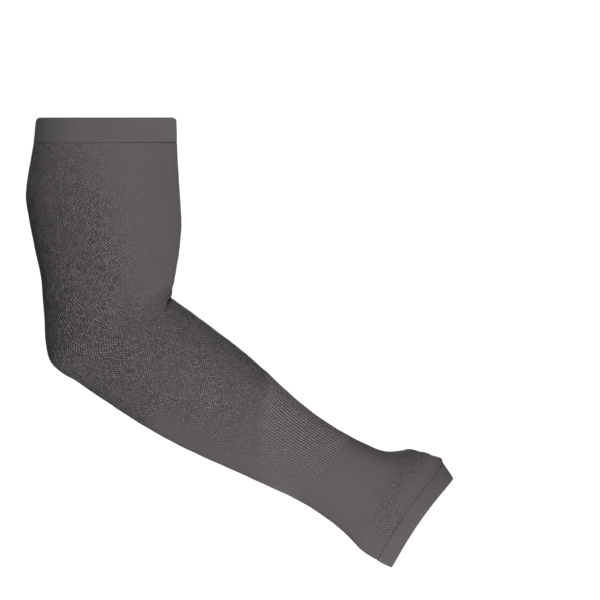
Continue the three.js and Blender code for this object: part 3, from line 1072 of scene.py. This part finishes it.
class SLEEVE_OT_hand_cover(bpy.types.Operator):
    """Knit the hand cover, with its thumb hole"""

    bl_idname = "sleeve.hand_cover"
    bl_label = "Hand cover"

    def execute(self, context):
        start = RIB_END + ZONE_GAP
        end = HEM_START - ZONE_GAP
        alongs = merged_places(places(start, end, COVER_STEP), end - SEAM_ROWS)
        rows = len(alongs)
        along, turn = rings(alongs, AROUND)
        along = along + rib_slant(along, turn)
        open_cells = self.cut_hole(along, turn)
        relief = waver(along, turn)
        outer = cloth_point(along, turn, relief + seam_dip(along, HEM_START, 1 - frontness(along, turn)))
        inner = cloth_point(along, turn, relief - KNIT_WALL)
        points = np.concatenate((outer, inner[::-1]))
        both = np.concatenate((alongs, alongs[::-1]))
        faces, corner_row, corner_column = loop_faces(2 * rows, AROUND)
        uvs = np.stack((corner_column / AROUND, both[corner_row % (2 * rows)]), axis=-1)
        # The rows run down the outside and back up the inside, so each cell of the hole is left out twice
        first_row = corner_row[:, 0]
        inside = first_row >= rows
        cell_row = np.where(inside, 2 * rows - 2 - first_row, first_row)
        rim = (first_row == rows - 1) | (first_row == 2 * rows - 1)
        kept = rim | ~open_cells[np.minimum(cell_row, rows - 2), corner_column[:, 0]]
        hole_faces, hole_uvs = self.hole_rim(open_cells, rows, alongs)
        faces = np.concatenate((faces[kept], hole_faces))
        uvs = np.concatenate((uvs[kept], hole_uvs))
        inside = np.concatenate((inside[kept], np.zeros(len(hole_faces), bool)))
        materials = (plain_knit(), knit_inside())
        show = knit_show(along, turn)
        looks = {KNIT_SHOW: np.concatenate((show, show[::-1]))}
        piece = cloth_object("hand_cover_knit", points.reshape(-1, 3), faces, uvs, materials, inside, looks)
        settle(piece, ("hand_cover",))
        return {"FINISHED"}

    def cut_hole(self, along, turn):
        """Marks the cells in the thumb hole, and moves the points round them on to its oval."""
        x, y = section_point(along, turn)
        length = HOLE_LENGTH / 2 + HOLE_EDGE / 2
        width = HOLE_WIDTH / 2 + HOLE_EDGE / 2
        reach = np.hypot((along - HOLE_CENTRE) / length, (y - HOLE_SIDE) / width)
        reach = np.where(x > HOLE_FRONT, reach, np.inf)
        beside = np.roll(reach, -1, axis=1)
        middle = (reach[:-1] + reach[1:] + beside[:-1] + beside[1:]) / 4
        open_cells = middle < 1
        touched = np.zeros(along.shape, int)
        for down in (0, 1):
            for across in (0, 1):
                touched[down : down + len(open_cells)] += np.roll(open_cells, across, axis=1)
        for row, column in np.argwhere((touched > 0) & (touched < 4)):
            share = reach[row, column]
            place = HOLE_CENTRE + (along[row, column] - HOLE_CENTRE) / share
            side = HOLE_SIDE + (y[row, column] - HOLE_SIDE) / share
            along[row, column] = place
            turn[row, column] = front_turn(place, side)
        return open_cells

    def hole_rim(self, open_cells, rows, alongs):
        """Faces that close the cut edge of the hole, from the outside of the cloth to its inside."""
        faces = []
        uvs = []
        for row, column in np.argwhere(open_cells):
            for (down, across), start, end in CELL_SIDES:
                if open_cells[row + down, (column + across) % AROUND]:
                    continue
                corners = [(row + r, (column + c) % AROUND) for r, c in (start, end)]
                outer = [r * AROUND + c for r, c in corners]
                inner = [(2 * rows - 1 - r) * AROUND + c for r, c in corners]
                faces.append((outer[0], outer[1], inner[1], inner[0]))
                spots = [(c / AROUND, alongs[r]) for r, c in corners]
                uvs.append((spots[0], spots[1], spots[1], spots[0]))
        return np.array(faces), np.array(uvs)


class SLEEVE_OT_thumb_edge(bpy.types.Operator):
    """Turn the edge of the thumb hole"""

    bl_idname = "sleeve.thumb_edge"
    bl_label = "Thumb hole edge"

    def execute(self, context):
        angles = 2 * np.pi * np.arange(EDGE_POINTS) / EDGE_POINTS
        along = HOLE_CENTRE + (HOLE_LENGTH + HOLE_EDGE) / 2 * np.cos(angles)
        side = HOLE_SIDE + (HOLE_WIDTH + HOLE_EDGE) / 2 * np.sin(angles)
        turn = np.array([front_turn(a, s) for a, s in zip(along, side)])
        middle = cloth_point(along, turn, np.full(EDGE_POINTS, -KNIT_WALL / 2))
        outward = cloth_point(along, turn, np.full(EDGE_POINTS, KNIT_WALL / 2)) - middle
        outward /= np.linalg.norm(outward, axis=-1, keepdims=True)
        ahead = np.roll(middle, -1, axis=0) - np.roll(middle, 1, axis=0)
        aside = np.cross(outward, ahead)
        aside /= np.linalg.norm(aside, axis=-1, keepdims=True)
        roll = 2 * np.pi * np.arange(EDGE_SIDES) / EDGE_SIDES
        wide = (HOLE_EDGE / 2 + EDGE_RISE / 2) * np.cos(roll)
        thick = (KNIT_WALL / 2 + EDGE_RISE) * np.sin(roll)
        points = middle[:, None] + aside[:, None] * wide[:, None] + outward[:, None] * thick[:, None]
        faces, corner_row, corner_column = loop_faces(EDGE_POINTS, EDGE_SIDES)
        path = float(np.linalg.norm(ahead, axis=-1).sum() / 2)
        around = 2 * math.pi * math.hypot(HOLE_EDGE / 2, KNIT_WALL / 2) / math.sqrt(2)
        way_on = corner_row / EDGE_POINTS * path / girth(HOLE_CENTRE)
        way_round = corner_column / EDGE_SIDES * around
        uvs = np.stack((way_on, way_round), axis=-1)
        inside = np.zeros(len(faces), bool)
        materials = (edge_knit(),)
        piece = cloth_object("thumb_hole_edge_roll", points.reshape(-1, 3), faces, uvs, materials, inside)
        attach(piece, "root")
        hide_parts("thumb_hole_edge")
        return {"FINISHED"}


class SLEEVE_OT_hems(bpy.types.Operator):
    """Fold the upper band and the hand hem"""

    bl_idname = "sleeve.hems"
    bl_label = "Hems"

    def execute(self, context):
        material = hem_knit()
        hems = (
            ("upper_band", "upper_band_welt", BAND_END, 0.0, ["upper_arm_tube"]),
            ("hand_hem", "hand_hem_welt", HEM_START, SLEEVE_END, ["hand_cover_knit"]),
        )
        for node, name, seam, edge, hangs_from in hems:
            alongs, heights, inside_rows = hem_profile(seam, edge)
            along, turn = rings(alongs, AROUND)
            points = cloth_point(along, turn, heights[:, None] + waver(along, turn))
            piece = wall_object(name, alongs, points, inside_rows, (material, material))
            settle(piece, (node,))
        return {"FINISHED"}


# The studio

def aim(thing, target):
    """Turns a camera or a light to a place."""
    thing.rotation_euler = (target - thing.location).to_track_quat("-Z", "Y").to_euler()


def soft_light(name, away, power, size):
    """A round soft light at a place away from the picture's middle, which lights it and isn't seen."""
    light = bpy.data.lights.new(name, "AREA")
    light.shape = "DISK"
    light.size = size
    light.energy = power
    lamp = bpy.data.objects.new(name, light)
    lamp.location = VIEW_MIDDLE + Vector(away)
    aim(lamp, VIEW_MIDDLE)
    lamp.visible_camera = False
    bpy.context.scene.collection.objects.link(lamp)


class SLEEVE_OT_stage(bpy.types.Operator):
    """Set up the floor, the light and the camera"""

    bl_idname = "sleeve.stage"
    bl_label = "Studio"

    def execute(self, context):
        studio = context.scene.studio
        self.floor(studio)
        self.surroundings(studio)
        for name, (away, size) in LIGHTS.items():
            soft_light(name, away, getattr(studio, name), size)
        camera = bpy.data.objects.new("camera", bpy.data.cameras.new("camera"))
        camera.location = (VIEW_MIDDLE.x, -CAMERA_AWAY, 0.0)
        aim(camera, VIEW_MIDDLE)
        camera.data.sensor_width = SENSOR
        camera.data.lens = SENSOR * (VIEW_MIDDLE - camera.location).length / VIEW_SPAN
        camera.data.clip_end = VIEW_DEPTH
        context.scene.collection.objects.link(camera)
        context.scene.camera = camera
        context.scene.view_settings.view_transform = "Standard"
        return {"FINISHED"}

    def floor(self, studio):
        """A pale round floor just under the sleeve, which glows evenly and is clear from below."""
        mesh = bpy.data.meshes.new("floor")
        angles = np.linspace(0, 2 * math.pi, FLOOR_POINTS, endpoint=False)
        level = CAD_BOX[0].z - FLOOR_DROP
        rim = [(FLOOR_RADIUS * math.cos(angle), FLOOR_RADIUS * math.sin(angle), level) for angle in angles]
        mesh.from_pydata(rim, [], [list(range(len(rim)))])
        material = bpy.data.materials.new("floor")
        material.use_nodes = True
        nodes = Nodes(material.node_tree)
        material.node_tree.nodes.remove(material.node_tree.nodes["Principled BSDF"])
        glow = nodes.add("ShaderNodeEmission", Color=(*studio.ground, 1.0), Strength=GROUND_GLOW).outputs[0]
        clear = nodes.add("ShaderNodeBsdfTransparent").outputs[0]
        below = nodes.add("ShaderNodeNewGeometry").outputs["Backfacing"]
        mixed = nodes.add("ShaderNodeMixShader", _0=below, _1=glow, _2=clear).outputs[0]
        nodes.put(material.node_tree.nodes["Material Output"], "Surface", mixed)
        mesh.materials.append(material)
        floor = bpy.data.objects.new("floor", mesh)
        bpy.context.scene.collection.objects.link(floor)
        floor.visible_diffuse = False
        floor.visible_glossy = False
        floor.visible_shadow = False

    def surroundings(self, studio):
        """A background as pale as the floor, and an even weak light from all round."""
        world = bpy.data.worlds.new("surroundings")
        world.use_nodes = True
        nodes = Nodes(world.node_tree)
        background = world.node_tree.nodes["Background"]
        seen = nodes.add("ShaderNodeLightPath").outputs["Is Camera Ray"]
        rest = GROUND_GLOW - studio.ambient
        nodes.put(background, "Color", (*studio.ground, 1.0))
        nodes.put(background, "Strength", nodes.math("MULTIPLY_ADD", seen, rest, studio.ambient))
        bpy.context.scene.world = world


class SLEEVE_PT_panel(bpy.types.Panel):
    """The sleeve's sizes, colours and pieces"""

    bl_idname = "SLEEVE_PT_panel"
    bl_label = "Sun sleeve"
    bl_space_type = "VIEW_3D"
    bl_region_type = "UI"
    bl_category = "Sun sleeve"

    def draw(self, context):
        for settings in (context.scene.sleeve_sizes, context.scene.sleeve_colours, context.scene.studio):
            box = self.layout.box()
            for name in settings.__annotations__:
                box.prop(settings, name)
        for operator in OPERATORS:
            self.layout.operator(operator.bl_idname)


OPERATORS = (
    SLEEVE_OT_arm_tube,
    SLEEVE_OT_forearm_rib,
    SLEEVE_OT_thumb_edge,
    SLEEVE_OT_hand_cover,
    SLEEVE_OT_hems,
    SLEEVE_OT_stage,
)
SETTINGS = {
    "sleeve_sizes": SleeveSizes,
    "sleeve_colours": SleeveColours,
    "studio": StudioSettings,
}


def register():
    for name, group in SETTINGS.items():
        bpy.utils.register_class(group)
        setattr(bpy.types.Scene, name, bpy.props.PointerProperty(type=group))
    for kind in (*OPERATORS, SLEEVE_PT_panel):
        bpy.utils.register_class(kind)


def unregister():
    for kind in (SLEEVE_PT_panel, *reversed(OPERATORS)):
        bpy.utils.unregister_class(kind)
    for name, group in SETTINGS.items():
        delattr(bpy.types.Scene, name)
        bpy.utils.unregister_class(group)


def main():
    register()
    bpy.ops.sleeve.stage()
    bpy.ops.sleeve.arm_tube()
    bpy.ops.sleeve.forearm_rib()
    bpy.ops.sleeve.thumb_edge()
    bpy.ops.sleeve.hand_cover()
    bpy.ops.sleeve.hems()


if __name__ == "__main__":
    main()
